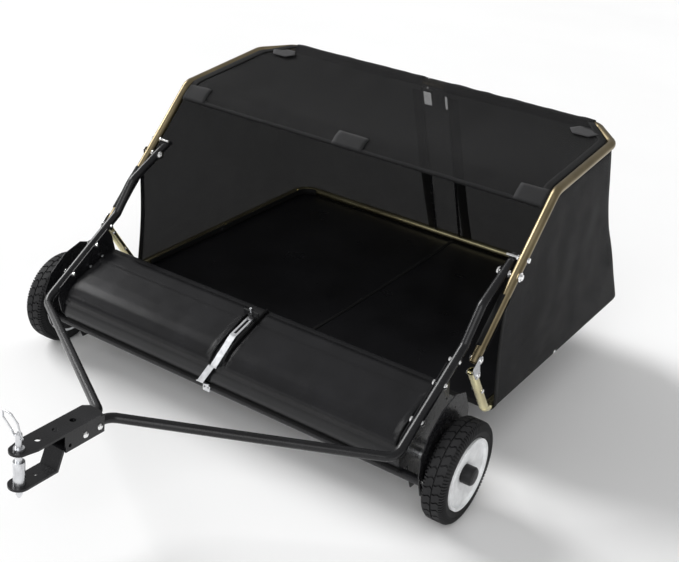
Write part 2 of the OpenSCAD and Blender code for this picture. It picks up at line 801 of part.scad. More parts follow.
module hitch_pin() {
  color(steel) in_frame() translate([0, -pin_y, 0]) difference() {
    union() {
      translate([0, 0, 172]) cylinder(r = pin_d / 2, h = 160);
      translate([0, 0, 164]) cylinder(r1 = pin_d / 4, r2 = pin_d / 2, h = 8);
      translate([0, 0, strap_top_z]) cylinder(r = 13, h = 5);
      translate([0, 0, 332]) cylinder(r1 = pin_d / 2, r2 = pin_d / 4, h = 4);
    }
    translate([-20, 0, 322]) rotate([0, 90, 0]) cylinder(r = 3, h = 40);
  }
}

// spring wire loop through the pin's head
loop_r = 2.2;
module pin_loop() {
  color(steel) in_frame() translate([0, -pin_y, 322])
    bent([[0.3, 0, 0], [14, 0, 0], [14, -8, 19], [23, -24, 56], [13, -34, 82], [-13, -34, 82], [-23, -24, 56],
          [-14, -8, 19], [-14, 0, 0], [-0.3, 0, 0]], 5, loop_r);
}

// ---------- hopper ----------

function top_path(side, start) = [
  [side * start, top_rear_y, top_rear_z],
  [side * (side_x - corner_x), top_rear_y, top_rear_z],
  [side * side_x, corner_yz.x, corner_yz.y],
  at_side(side, bend),
  at_side(side, joint + unit(bend - joint) * 16)];

module side_tube_holes(side) {
  mirror_to(side) {
    along_x(side_x - 20, side_x + 20, pivot, 5 + run);
    along_x(side_x - 20, side_x + 20, stop_bolt, 4 + run);
    along_x(side_x - 20, side_x + 20, joint + unit(bend - joint) * 28, 3.5 + run);
  }
}

// halves of the top frame, from the middle of the back to the lower joints
module top_tube_left() {
  color(bronze) in_frame() difference() {
    bent(top_path(-1, 0.05), bend_r, tube_r, tube_wall);
    side_tube_holes(-1);
    translate([-22, top_rear_y, top_rear_z - 20]) cylinder(r = 3 + run, h = 40);
  }
}

// the right half ends in a swaged plug that fits into the left half
module top_tube_right() {
  middle = [0, top_rear_y, top_rear_z];
  color(bronze) in_frame() difference() {
    union() {
      bent(top_path(1, 6), bend_r, tube_r, tube_wall);
      rod(middle + [0.05, 0, 0], middle + [9, 0, 0], tube_r + thicker);
      rod(middle - [40, 0, 0], middle + [3, 0, 0], bore_r - run);
    }
    side_tube_holes(1);
    translate([-22, top_rear_y, top_rear_z - 20]) cylinder(r = 3 + run, h = 40);
  }
}

// riser and front half of a floor side tube
module lower_tube(side) {
  start = joint + unit(floor_front - joint) * 16;
  difference() {
    bent([at_side(side, start), at_side(side, floor_front), at_side(side, floor_mid)], 40, tube_r, tube_wall);
    mirror_to(side) {
      along_x(side_x - 20, side_x + 20, joint + unit(floor_front - joint) * 28, 3.5 + run);
      along_x(side_x - 20, side_x + 20, riser_bolt, 3 + run);
      along_x(side_x - 20, side_x + 20, floor_bolt, 3 + run);
    }
  }
}

module lower_tube_left() {
  color(bronze) in_frame() lower_tube(-1);
}

module lower_tube_right() {
  color(bronze) in_frame() lower_tube(1);
}

// rear U of the floor frame, swaged into the front halves
module rear_tube() {
  along = unit(floor_rear - floor_front);
  color(bronze) in_frame() difference() {
    union() {
      bent([at_side(-1, floor_mid + along * 8), at_side(-1, floor_rear), at_side(1, floor_rear),
            at_side(1, floor_mid + along * 8)], floor_round, tube_r, tube_wall);
      for (side = [-1, 1]) {
        rod(at_side(side, floor_mid + along * 0.1), at_side(side, floor_mid + along * 11), tube_r + thicker);
        rod(at_side(side, floor_mid - along * 45), at_side(side, floor_mid + along * 3), bore_r - run);
      }
    }
    for (side = [-1, 1]) mirror_to(side) along_x(side_x - 20, side_x + 20, floor_bolt, 3 + run);
  }
}

// outer gusset at each lower joint
module joint_brackets() {
  a = joint + unit(bend - joint) * 28;
  b = joint + unit(floor_front - joint) * 28;
  x0 = side_x + tube_r;
  color(steel) in_frame() for (side = [-1, 1]) mirror_to(side) difference() {
    union() {
      along_x(x0 + 0.05, x0 + 3, a, 12);
      along_x(x0 + 0.05, x0 + 3, b, 12);
      along_x(x0 + 0.05, x0 + 3, joint, 14);
      side_polygon(x0 + 0.05, x0 + 3,
                   [joint + [-13, 4], a + [-8, 9], b + [8, 8], b + [-7, -9], joint + [-11, -8]]);
    }
    along_x(x0 - 1, x0 + 4, a, 3.5 + run);
    along_x(x0 - 1, x0 + 4, b, 3.5 + run);
  }
}

module hopper_bolts() {
  color(white) in_frame() {
    for (side = [-1, 1]) mirror_to(side) {
      bolt_x(side_x - tube_r, side_x + tube_r + 3, joint + unit(bend - joint) * 28, 3.5, 3);
      bolt_x(side_x - tube_r, side_x + tube_r + 3, joint + unit(floor_front - joint) * 28, 3.5, 3);
      bolt_x(side_x - tube_r, side_x + tube_r, riser_bolt, 3, 3);
      bolt_x(side_x - tube_r, side_x + tube_r, floor_bolt, 3, 3);
      // the stop bolt reaches inward over the end of the arm
      along_x(drawbar_x - 16, side_x + tube_r + 1, stop_bolt, 4);
      hex_x(side_x + tube_r, side_x + tube_r + 5, stop_bolt, 13);
      hex_x(side_x - tube_r - 4, side_x - tube_r, stop_bolt, 13);
    }
    bolt_down(-22, top_rear_y, top_rear_z - tube_r, top_rear_z + tube_r, 3);
  }
}

// rod sewn into the front hem of the top panel
module hem_rod() {
  color(bronze) in_frame() along_x(-side_x + skin, side_x - skin, hem, hem_rod_r);
}

// two upright stays that stand just inside the back panel
module back_rods() {
  drop = unit(floor_rear - top_rear);
  high = top_rear + drop * 17 - [7, 0];
  low = floor_rear - drop * 17 - [7, 0];
  color(black) in_frame() for (x = [-47, 47]) rod([x, low.x, low.y], [x, high.x, high.y], 4);
}

// the bag's panels keep this far from the tubes' centre lines
skin = tube_r + bag_gap;
hem_rod_r = 4;
bag_low = skin + 0.05;
side_x0 = side_x + skin;
floor_edge = 285;
rear_cut = 45;

// outline of a panel in plan, with the rear corners cut
function plan(half, front, rear, cut_x, cut_y) = [
  [-half, front], [half, front], [half, rear - cut_y], [half - cut_x, rear], [-half + cut_x, rear],
  [-half, rear - cut_y]];

// drawing plane that follows the line from one side point to another
module tilted(from, to) {
  slope = atan2(to.y - from.y, to.x - from.x);
  translate([0, from.x, from.y]) rotate([slope, 0, 0]) children();
}

// top panel between the top tubes, folded down at the front bends to the hem rod
module bag_top() {
  half = side_x - skin;
  front = line_normal(joint, bend);
  down = unit(hem - bend);
  color(cloth) in_frame() {
    tilted(bend, top_rear)
      linear_extrude(height = bag_t)
        polygon(plan(half, 0, norm(top_rear - bend) - skin, corner_x + 1, corner_y + 1));
    side_polygon(-half, half,
        [bend, bend + [0, bag_t], bend + front * bag_t, hem + front * bag_t - down * (hem_rod_r + bag_gap),
         hem - down * (hem_rod_r + bag_gap)]);
  }
}

// floor sheet under the floor tubes
module bag_floor() {
  from = floor_front - [0, bag_low + bag_t];
  to = floor_rear - [0, bag_low + bag_t];
  slope = atan2(to.y - from.y, to.x - from.x);
  color(cloth) in_frame() tilted(from, to)
    linear_extrude(height = bag_t)
      polygon(plan(side_x0, floor_edge - floor_front_y, (rear_end - floor_front_y) / cos(slope), rear_cut,
                   rear_cut));
}

// the side and back panels lie between the tubes, in the plane of their centre lines
wall_gap = skin + 0.3;
function above_floor(y) = on_line(floor_front, floor_rear, y) + [0, wall_gap + 0.6];
low_out_y = floor_rear_y - floor_round - 2;

// side panel outline: floor front, floor rear, top rear, top front, and down behind the slanted tube
side_top = line_normal(bend, top_rear) * -(wall_gap + 0.3);
side_outline = [
  above_floor(floor_edge), above_floor(low_out_y - 2), corner_yz + side_top - [4, 0.5],
  bend + side_top + [bend_r / 4, -bend_r / 8],
  on_line(joint, bend, bend.x - 30) - line_normal(joint, bend) * wall_gap,
  on_line(joint, bend, 262) - line_normal(joint, bend) * wall_gap];

module bag_side(side) {
  mirror_to(side) side_polygon(side_x - bag_t / 2, side_x + bag_t / 2, side_outline);
}

module bag_side_left() {
  color(cloth) in_frame() bag_side(-1);
}

module bag_side_right() {
  color(cloth) in_frame() bag_side(1);
}

// thin triangle of cloth between three points
module gusset(points) {
  hull() for (p = points) translate(p) sphere(r = bag_t / 2, $fn = 12);
}

// back panel with the two cut rear corners
module bag_back() {
  drop = unit(floor_rear - top_rear);
  high = top_rear + drop * wall_gap;
  low = floor_rear - drop * (wall_gap + 0.6);
  half_high = side_x - corner_x;
  half_low = side_x - floor_round;
  high_in = [half_high, high.x + 0.4, high.y - 1];
  low_in = [half_low, low.x, low.y];
  high_out = [side_x, corner_yz.x + 1, corner_yz.y - wall_gap - 1];
  low_out = [side_x, low_out_y, above_floor(low_out_y).y];
  color(cloth) in_frame() {
    tilted(low, high) translate([0, 0, -bag_t / 2]) linear_extrude(height = bag_t)
      polygon([[1.4 - half_low, 0], [half_low - 1.4, 0], [half_high - 1.4, norm(high - low)],
               [1.4 - half_high, norm(high - low)]]);
    for (side = [-1, 1]) mirror_to(side) {
      gusset([low_in, high_in, high_out]);
      gusset([low_in, low_out, high_out]);
    }
  }
}

// three webbing tabs that pass over the hem rod
module hem_tabs() {
  front = line_normal(joint, bend);
  inner = hem_rod_r + bag_gap;
  color(cloth) in_frame() for (x = [-side_x + 45, 0, side_x - 45])
    side_polygon(x - 26, x + 26,
        [hem + front * inner - [6, 7], mix_points(hem, bend, 0.7) + front * inner,
         mix_points(hem, bend, 0.7) + front * (inner + 1.6), hem + front * (inner + 1.6) - [6, 7]]);
}

// ---------- selection ----------

cover_left();
cover_right();
front_apron();
side_plate_left();
side_plate_right();
cross_stiffener();
axle_left();
axle_right();
axle_sleeves();
drawbar_left();
drawbar_right();
hitch_channel();
hitch_upper_strap();
hitch_lower_bracket();
hitch_bolts();
frame_bolts();
cover_screws();
arm_left();
arm_right();
pivot_bolts();
pin_spacer();
wheel_disc_left();
wheel_disc_right();
tyre_left();
tyre_right();
ring_gear_left();
ring_gear_right();
hub_cap_left();
hub_cap_right();
hanger_left();
hanger_right();
front_tube();
tube_end_caps();
height_lever();
lever_stud();
shaft_bushes();
lever_knob();
brush_shaft();
brush_discs();
brush_holders();
bristle_rows();
pinion_left();
pinion_right();
hitch_pin();
pin_loop();
top_tube_left();
top_tube_right();
lower_tube_left();
lower_tube_right();
rear_tube();
joint_brackets();
hem_rod();
back_rods();
bag_top();
bag_back();
bag_side_left();
bag_side_right();
bag_floor();
hem_tabs();
hopper_bolts();
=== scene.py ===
import json
import math
import random

import bmesh
import bpy
from mathutils import Matrix, Vector, noise


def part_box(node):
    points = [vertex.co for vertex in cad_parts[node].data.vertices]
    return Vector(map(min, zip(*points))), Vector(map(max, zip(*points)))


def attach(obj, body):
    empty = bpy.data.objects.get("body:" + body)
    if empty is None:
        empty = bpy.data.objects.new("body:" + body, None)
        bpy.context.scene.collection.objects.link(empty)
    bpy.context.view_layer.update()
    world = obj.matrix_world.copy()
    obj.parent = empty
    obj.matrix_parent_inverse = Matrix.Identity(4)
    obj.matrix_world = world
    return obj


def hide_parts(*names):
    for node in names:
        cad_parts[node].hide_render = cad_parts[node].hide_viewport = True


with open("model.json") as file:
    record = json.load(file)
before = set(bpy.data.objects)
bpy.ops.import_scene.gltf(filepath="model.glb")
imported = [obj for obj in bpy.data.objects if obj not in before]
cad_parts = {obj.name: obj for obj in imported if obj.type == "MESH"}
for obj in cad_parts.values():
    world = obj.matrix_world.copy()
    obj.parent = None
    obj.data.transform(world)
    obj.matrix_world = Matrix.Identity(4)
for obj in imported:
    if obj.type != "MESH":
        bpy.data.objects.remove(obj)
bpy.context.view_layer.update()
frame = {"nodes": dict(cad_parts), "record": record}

random.seed(7)

# ---------- places, in metres, from the frame ----------

axle_low, axle_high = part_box("axle_right")
AXLE_Y = (axle_low.y + axle_high.y) / 2
AXLE_Z = (axle_low.z + axle_high.z) / 2
tube_low, tube_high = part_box("front_tube")
TUBE_R = (tube_high.z - tube_low.z) / 2
BOX_SLACK = 0.0002  # the top tube's box is this much wider than the tube
SIDE_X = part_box("top_tube_right")[1].x - TUBE_R - BOX_SLACK

# hopper frame in the (behind the axle, height) plane, at the tubes' centre lines
JOINT = (0.117, 0.360)
BEND = (0.470, 0.746)
TOP_REAR = (0.935, 0.805)
FLOOR_FRONT = (0.259, 0.178)
FLOOR_REAR = (1.217, 0.205)
# how far the top frame's rear corners are cut off, across and along
CORNER_X = 0.082
CORNER_Y = 0.092
FLOOR_ROUND = 0.060
CLOTH = 0.0012


def at(x, p):
    """The point at x of a place p in the (behind the axle, height) plane."""
    return Vector((x, AXLE_Y + p[0], p[1]))


def on_line(a, b, y):
    """The point of the line from a to b at a given distance y behind the axle."""
    return (y, a[1] + (b[1] - a[1]) * (y - a[0]) / (b[0] - a[0]))


def mix(a, b, t):
    return a + (b - a) * t


def smooth(t):
    t = max(0.0, min(1.0, t))
    return t * t * (3 - 2 * t)


# ---------- materials ----------

class Shader:
    """A node material with one Principled shader, built up step by step."""

    def __init__(self, name, color, roughness, metallic=0.0, scale_of="Object"):
        self.material = bpy.data.materials.new(name)
        self.material.use_nodes = True
        self.nodes = self.material.node_tree.nodes
        self.links = self.material.node_tree.links
        self.bsdf = self.nodes["Principled BSDF"]
        self.bsdf.inputs["Base Color"].default_value = (*color, 1)
        self.bsdf.inputs["Roughness"].default_value = roughness
        self.bsdf.inputs["Metallic"].default_value = metallic
        self.color = color
        self.place = self.nodes.new("ShaderNodeTexCoord").outputs[scale_of]
        self.normal = None

    def set(self, **values):
        for name, value in values.items():
            self.bsdf.inputs[name.replace("_", " ")].default_value = value
        return self

    def noise(self, scale, detail=4.0, stretch=(1, 1, 1)):
        mapping = self.nodes.new("ShaderNodeMapping")
        mapping.inputs["Scale"].default_value = stretch
        self.links.new(self.place, mapping.inputs["Vector"])
        texture = self.nodes.new("ShaderNodeTexNoise")
        texture.inputs["Scale"].default_value = scale
        texture.inputs["Detail"].default_value = detail
        self.links.new(mapping.outputs["Vector"], texture.inputs["Vector"])
        return texture.outputs["Fac"]

    def wave(self, scale, axis, profile="SIN", distortion=0.0):
        texture = self.nodes.new("ShaderNodeTexWave")
        texture.bands_direction = axis
        texture.wave_profile = profile
        texture.inputs["Scale"].default_value = scale
        texture.inputs["Distortion"].default_value = distortion
        self.links.new(self.place, texture.inputs["Vector"])
        return texture.outputs["Fac"]

    def math(self, operation, a, b):
        node = self.nodes.new("ShaderNodeMath")
        node.operation = operation
        for socket, value in zip(node.inputs, (a, b)):
            if hasattr(value, "node"):
                self.links.new(value, socket)
            else:
                socket.default_value = value
        return node.outputs[0]

    def ramp(self, source, stops):
        node = self.nodes.new("ShaderNodeValToRGB")
        while len(node.color_ramp.elements) < len(stops):
            node.color_ramp.elements.new(0.5)
        for element, (place, color) in zip(node.color_ramp.elements, stops):
            element.position = place
            element.color = (*color, 1)
        self.links.new(source, node.inputs["Fac"])
        return node.outputs["Color"]

    def vary_color(self, source, low, high, start=0.3, end=0.7):
        dark = [c * low for c in self.color]
        light = [min(1.0, c * high) for c in self.color]
        self.links.new(self.ramp(source, [(start, dark), (end, light)]), self.bsdf.inputs["Base Color"])
        return self

    def vary_roughness(self, source, low, high):
        node = self.nodes.new("ShaderNodeMapRange")
        node.inputs["To Min"].default_value = low
        node.inputs["To Max"].default_value = high
        self.links.new(source, node.inputs["Value"])
        self.links.new(node.outputs["Result"], self.bsdf.inputs["Roughness"])
        return self

    def soften_edges(self, radius):
        """Round the shading over shallow folds in the sheet."""
        node = self.nodes.new("ShaderNodeBevel")
        node.samples = 6
        node.inputs["Radius"].default_value = radius
        self.normal = node.outputs["Normal"]
        return self

    def bump(self, source, strength, distance):
        node = self.nodes.new("ShaderNodeBump")
        node.inputs["Strength"].default_value = strength
        node.inputs["Distance"].default_value = distance
        self.links.new(source, node.inputs["Height"])
        if self.normal is not None:
            self.links.new(self.normal, node.inputs["Normal"])
        self.normal = node.outputs["Normal"]
        self.links.new(self.normal, self.bsdf.inputs["Normal"])
        return self


def enamel(name, color, roughness):
    """Gloss enamel on sheet steel: a faint orange peel and a little dust."""
    s = Shader(name, color, roughness)
    s.set(Coat_Weight=0.1, Coat_Roughness=0.16, Specular_IOR_Level=0.27)
    s.vary_color(s.noise(9, 5), 0.75, 1.35)
    s.vary_roughness(s.noise(24, 6), roughness * 0.8, roughness * 1.3)
    s.soften_edges(0.016)
    return s.bump(s.noise(420, 2), 0.06, 0.0003).material


def powder_coat(name, color, roughness):
    """Black powder coat on tube and plate, a little coarser than enamel."""
    s = Shader(name, color, roughness)
    s.set(Specular_IOR_Level=0.34)
    s.vary_color(s.noise(14, 5), 0.7, 1.5)
    s.vary_roughness(s.noise(60, 4), roughness * 0.85, roughness * 1.2)
    return s.bump(s.noise(900, 3), 0.2, 0.0003).material


def bronze_tube(name, color, roughness):
    """Yellow-bronze passivated steel tube, darker and lighter in long streaks."""
    s = Shader(name, color, roughness, 1.0)
    s.vary_color(s.noise(7, 6), 0.7, 1.35, 0.3, 0.75)
    s.vary_roughness(s.noise(45, 4), roughness * 0.85, roughness * 1.25)
    return s.bump(s.noise(300, 3), 0.08, 0.0003).material


def zinc(name, color=(0.72, 0.73, 0.75), roughness=0.3):
    """Bright zinc plate with a soft grain and faint spangles."""
    s = Shader(name, color, roughness, 1.0)
    s.vary_color(s.noise(60, 5), 0.82, 1.12)
    s.vary_roughness(s.noise(130, 4), roughness * 0.7, roughness * 1.4)
    return s.bump(s.noise(700, 2, (1, 6, 1)), 0.1, 0.0002).material


def moulded(name, color, roughness, grain=500):
    """Moulded plastic or rubber with a fine grain."""
    s = Shader(name, color, roughness)
    s.set(Specular_IOR_Level=0.3)
    s.vary_color(s.noise(30, 4), 0.85, 1.12)
    s.vary_roughness(s.noise(80, 3), roughness * 0.9, roughness * 1.1)
    return s.bump(s.noise(grain, 3), 0.18, 0.0004).material


def woven(name, color, pitch, sheen=0.03, roughness=0.75, cover=1.0):
    """Woven fabric: threads both ways at the given pitch, with cloth-scale variation.

    An open mesh is see-through: cover is how much of the view each of its two faces stops."""
    s = Shader(name, color, roughness, scale_of="UV")
    per_metre = math.pi / (10 * pitch)
    weave = s.math("MULTIPLY", s.wave(per_metre, "X"), s.wave(per_metre, "Y"))
    s.set(Sheen_Weight=sheen, Sheen_Roughness=0.4, Specular_IOR_Level=0.22, Alpha=cover)
    patchy = s.math("ADD", s.math("MULTIPLY", weave, 0.5), s.math("MULTIPLY", s.noise(3.5, 6), 0.6))
    s.vary_color(patchy, 0.55, 1.55, 0.25, 0.75)
    s.vary_roughness(s.noise(12, 4), roughness * 0.85, min(1.0, roughness * 1.15))
    return s.bump(s.noise(9, 3), 0.12, 0.004).bump(weave, 0.45, pitch * 0.3).material


def coated_sheet(name, color):
    """Black coated floor sheet: glossy, with soft creases and a fine backing weave."""
    s = Shader(name, color, 0.28, scale_of="UV")
    s.set(Coat_Weight=0.3, Coat_Roughness=0.25, Specular_IOR_Level=0.35)
    s.vary_color(s.noise(5, 5), 0.7, 1.35)
    s.vary_roughness(s.noise(8, 5), 0.2, 0.42)
    s.bump(s.noise(5, 4), 0.2, 0.008)
    return s.bump(s.wave(math.pi / 0.02, "X"), 0.05, 0.0002).material


MATERIALS = {
    "black_paint": powder_coat("black_powder_coat", (0.008, 0.008, 0.009), 0.26),
    "zinc": zinc("bright_zinc"),
    "bright_bolts": zinc("polished_bolts", (0.9, 0.9, 0.9), 0.2),
    "white_plastic": moulded("white_moulding", (0.86, 0.87, 0.88), 0.42),
    "tyre": moulded("tyre_rubber", (0.011, 0.011, 0.012), 0.7),
    "black_plastic": moulded("black_moulding", (0.012, 0.0122, 0.013), 0.45),
    "bristle": moulded("bristle_nylon", (0.010, 0.010, 0.011), 0.45),
    "pinion_steel": zinc("pinion_steel", (0.5, 0.5, 0.52), 0.4),
    "bronze_tube": bronze_tube("bronze_tube", (0.215, 0.175, 0.105), 0.33),
    "bag_fabric": woven("bag_fabric", (0.0065, 0.0065, 0.007), 0.0016),
    "bag_mesh": woven("bag_mesh", (0.0065, 0.0065, 0.0075), 0.0022, 0.04, cover=0.87),
    "bag_sheet": coated_sheet("bag_sheet", (0.008, 0.008, 0.009)),
}
COVER_ENAMEL = enamel("cover_enamel", (0.008, 0.008, 0.009), 0.2)
ROOF_MESH = woven("roof_mesh", (0.0055, 0.0055, 0.006), 0.0018, 0.03, cover=0.56)
BINDING = woven("binding_tape", (0.0028, 0.0028, 0.003), 0.0011, 0.02)
TAB_CLOTH = woven("tab_webbing", (0.017, 0.017, 0.018), 0.0018, 0.1)
PATCH_MESH = woven("corner_mesh", (0.045, 0.045, 0.047), 0.0024, 0.1)
# a lighter copy of the bronze for the floor tubes: a painted highlight standing in for the light that
# catches them inside the hopper
FLOOR_TUBE_PAINTED_HIGHLIGHT = bronze_tube("floor_tube_painted_highlight", (0.80, 0.69, 0.42), 0.22)

for row in frame["record"]["subparts"]:
    node = frame["nodes"][row["node"]]
    material = MATERIALS[row["material_slot"]]
    if row["node"] in ("cover_left", "cover_right", "front_apron"):
        material = COVER_ENAMEL
    elif row["node"] in ("rear_tube", "lower_tube_left", "lower_tube_right"):
        # painted highlight: the floor tubes inside the hopper take the lighter bronze copy
        material = FLOOR_TUBE_PAINTED_HIGHLIGHT
    node.data.materials.clear()
    node.data.materials.append(material)


# ---------- mesh helpers ----------

def new_piece(name, mesh, material, body):
    piece = bpy.data.objects.new(name, mesh)
    bpy.context.scene.collection.objects.link(piece)
    mesh.materials.append(material)
    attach(piece, body)
    return piece


def mesh_from(name, points, faces, is_smooth=True):
    mesh = bpy.data.meshes.new(name)
    mesh.from_pydata([tuple(p) for p in points], [], faces)
    mesh.update()
    for polygon in mesh.polygons:
        polygon.use_smooth = is_smooth
    return mesh


def grid_mesh(name, rows):
    """A sheet of quads through rows of points, with a UV map in metres along the cloth."""
    width = len(rows[0])
    points = [p for row in rows for p in row]
    faces = []
    for i in range(len(rows) - 1):
        for j in range(width - 1):
            a = i * width + j
            faces.append((a, a + 1, a + width + 1, a + width))
    mesh = mesh_from(name, points, faces)
    middle = len(rows) // 2
    across = [0.0]
    for j in range(1, width):
        across.append(across[-1] + (rows[middle][j] - rows[middle][j - 1]).length)
    half = width // 2
    along = [0.0]
    for i in range(1, len(rows)):
        along.append(along[-1] + (rows[i][half] - rows[i - 1][half]).length)
    uv = mesh.uv_layers.new(name="cloth")
    for loop in mesh.loops:
        i, j = divmod(loop.vertex_index, width)
        uv.data[loop.index].uv = (across[j], along[i])
    return mesh


def length_of(points):
    return sum((b - a).length for a, b in zip(points, points[1:]))


def along_path(points, t):
    """The point a share t of the way along a polyline."""
    left = t * length_of(points)
    for a, b in zip(points, points[1:]):
        step = (b - a).length
        if left <= step:
            return a.lerp(b, left / step if step else 0.0)
        left -= step
    return points[-1].copy()


def tube_mesh(name, path, radius, sides=16, turn=(0, 360), wrinkle=0.0):
    """A sleeve of cloth round a path; turn gives the part of the circle that it covers."""
    rows = []
    up = Vector((0, 0, 1))
    whole = turn[1] - turn[0] >= 360
    for i, p in enumerate(path):
        ahead = (path[min(i + 1, len(path) - 1)] - path[max(i - 1, 0)]).normalized()
        side = ahead.cross(up)
        side = side.normalized() if side.length > 1e-4 else Vector((1, 0, 0))
        top = side.cross(ahead).normalized()
        row = []
        for k in range(sides + 1):
            a = math.radians(turn[0] + (turn[1] - turn[0]) * k / sides)
            out = side * math.cos(a) + top * math.sin(a)
            ripple = wrinkle * noise.noise((p + out * 0.02) * 22)
            row.append(p + out * (radius + ripple))
        if whole:
            row[-1] = row[0].copy()
        rows.append(row)
    mesh = grid_mesh(name, rows)
    if whole:
        work = bmesh.new()
        work.from_mesh(mesh)
        bmesh.ops.remove_doubles(work, verts=work.verts, dist=1e-6)
        work.to_mesh(mesh)
        work.free()
    return mesh


def thicken(piece, thickness, offset=0.0):
    modifier = piece.modifiers.new("thickness", "SOLIDIFY")
    modifier.thickness = thickness
    modifier.offset = offset
    return piece


def join_meshes(name, meshes):
    work = bmesh.new()
    for mesh in meshes:
        work.from_mesh(mesh)
    joined = bpy.data.meshes.new(name)
    work.to_mesh(joined)
    work.free()
    for polygon in joined.polygons:
        polygon.use_smooth = True
    return joined


def resample(points, count):
    return [along_path(points, k / (count - 1)) for k in range(count)]


# ---------- hopper bag ----------

WALL_FRONT_TOP_Y = 0.262
WALL_FRONT_LOW_Y = 0.285
ROUND_STEPS = 7
UNDER = TUBE_R + 0.0014
# (height of each wave in the cloth: the whole panel's, the long folds', the short folds')
WALL_WAVES = (0.010, 0.010, 0.0045)
ROOF_WAVES = (0.024, 0.006, 0.0022)
FLOOR_WAVES = (0.010, 0.005, 0.0012)


def rounded_rear(side, reach):
    """Floor frame's outline from the side to the middle of the back.

    It runs at a distance reach outside the tubes' centre lines."""
    x = SIDE_X + reach
    y = FLOOR_REAR[0] + reach
    r = FLOOR_ROUND + reach
    front = at(side * x, on_line(FLOOR_FRONT, FLOOR_REAR, WALL_FRONT_LOW_Y))
    arc = []
    for k in range(ROUND_STEPS + 1):
        a = math.radians(90 * k / ROUND_STEPS)
        py = y - r + r * math.sin(a)
        arc.append(at(side * (x - r + r * math.cos(a)), on_line(FLOOR_FRONT, FLOOR_REAR, py)))
    return front, arc, at(0, on_line(FLOOR_FRONT, FLOOR_REAR, y))


def top_rear_path(side):
    """Top frame's line from the wall's front edge to the middle of the back."""
    corner = on_line(BEND, TOP_REAR, TOP_REAR[0] - CORNER_Y)
    start = at(side * SIDE_X, on_line(JOINT, BEND, WALL_FRONT_TOP_Y))
    before = at(side * SIDE_X, on_line(JOINT, BEND, BEND[0] - 0.022))
    after = at(side * SIDE_X, on_line(BEND, TOP_REAR, BEND[0] + 0.030))
    turn = at(side * SIDE_X, (BEND[0] + 0.003, BEND[1] - 0.012))
    cut = at(side * SIDE_X, corner)
    return [start, before, turn, after, cut], at(side * (SIDE_X - CORNER_X), TOP_REAR), at(0, TOP_REAR)


SIDE_STEPS, CORNER_STEPS, BACK_STEPS, DROP_STEPS, HEM_STEPS = 34, 8, 34, 26, 5


def wall_edges(side):
    """Matching top and bottom points from the wall's front edge to the middle of the back."""
    side_top, corner_end, back_top = top_rear_path(side)
    front, arc, back_low = rounded_rear(side, TUBE_R + 0.001)
    top = resample(side_top, SIDE_STEPS) + resample([side_top[-1], corner_end], CORNER_STEPS)[1:]
    top += resample([corner_end, back_top], BACK_STEPS)[1:]
    low = resample([front, arc[0]], SIDE_STEPS) + resample(arc, CORNER_STEPS)[1:]
    low += resample([arc[-1], back_low], BACK_STEPS)[1:]
    return top, low


def wall_rows(sagging):
    """Rows of the wall from top to hem; sagging adds its inward belly and its folds."""
    pull_in, fold_size, drape_size = WALL_WAVES
    right_top, right_low = wall_edges(1)
    left_top, left_low = wall_edges(-1)
    top = right_top + left_top[-2::-1]
    low = right_low + left_low[-2::-1]
    columns = []
    for upper, lower in zip(top, low):
        out = Vector((upper.x * 0.6, 0, 0)) if abs(upper.x) > 0.58 else Vector((upper.x * 0.15, 0.4, 0))
        out = out.normalized()
        column = []
        start = upper - Vector((0, 0, TUBE_R * 0.8))
        for k in range(DROP_STEPS):
            t = k / (DROP_STEPS - 1)
            p = start.lerp(lower, t)
            if sagging:
                belly = math.sin(math.pi * t) ** 1.3
                fold = noise.noise(Vector((p.x * 3.1, p.y * 3.1, p.z * 1.6))) * fold_size
                drape = noise.noise(Vector((p.x * 11, p.y * 11, p.z * 1.2 + 4))) * drape_size
                p = p + out * belly * (-pull_in + fold + drape)
            column.append(p)
        # the hem goes round the floor tube from outside to below it
        inward = Vector((-out.x, -out.y, 0))
        for k in range(1, HEM_STEPS + 1):
            a = math.radians(90 * k / HEM_STEPS)
            down = Vector((0, 0, UNDER * math.sin(a)))
            column.append(lower + inward * UNDER * (1 - math.cos(a)) - down)
        columns.append(column)
    return [[column[i] for column in columns] for i in range(len(columns[0]))]


# vents in the back wall: how high they are, and their left and right edges
VENT_LOW, VENT_HIGH = 0.715, 0.775
VENT_SPANS = ((-0.052, -0.010), (0.010, 0.022), (0.034, 0.052))
BACK_WALL_Y = 0.9


def cut_windows(mesh):
    """Open three small vents high in the middle of the back wall."""
    work = bmesh.new()
    work.from_mesh(mesh)
    gone = []
    for face in work.faces:
        centre = face.calc_center_median()
        in_band = VENT_LOW < centre.z < VENT_HIGH and centre.y > AXLE_Y + BACK_WALL_Y
        if in_band and any(left < centre.x < right for left, right in VENT_SPANS):
            gone.append(face)
    bmesh.ops.delete(work, geom=gone, context="FACES")
    work.to_mesh(mesh)
    work.free()


def build_wall():
    rows = wall_rows(True)
    flat_rows = wall_rows(False)
    mesh = grid_mesh("bag_wall", rows)
    cut_windows(mesh)
    wall = new_piece("bag_wall", mesh, MATERIALS["bag_mesh"], "hopper")
    thicken(wall, CLOTH)
    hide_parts("bag_side_left", "bag_side_right", "bag_back")
    return rows


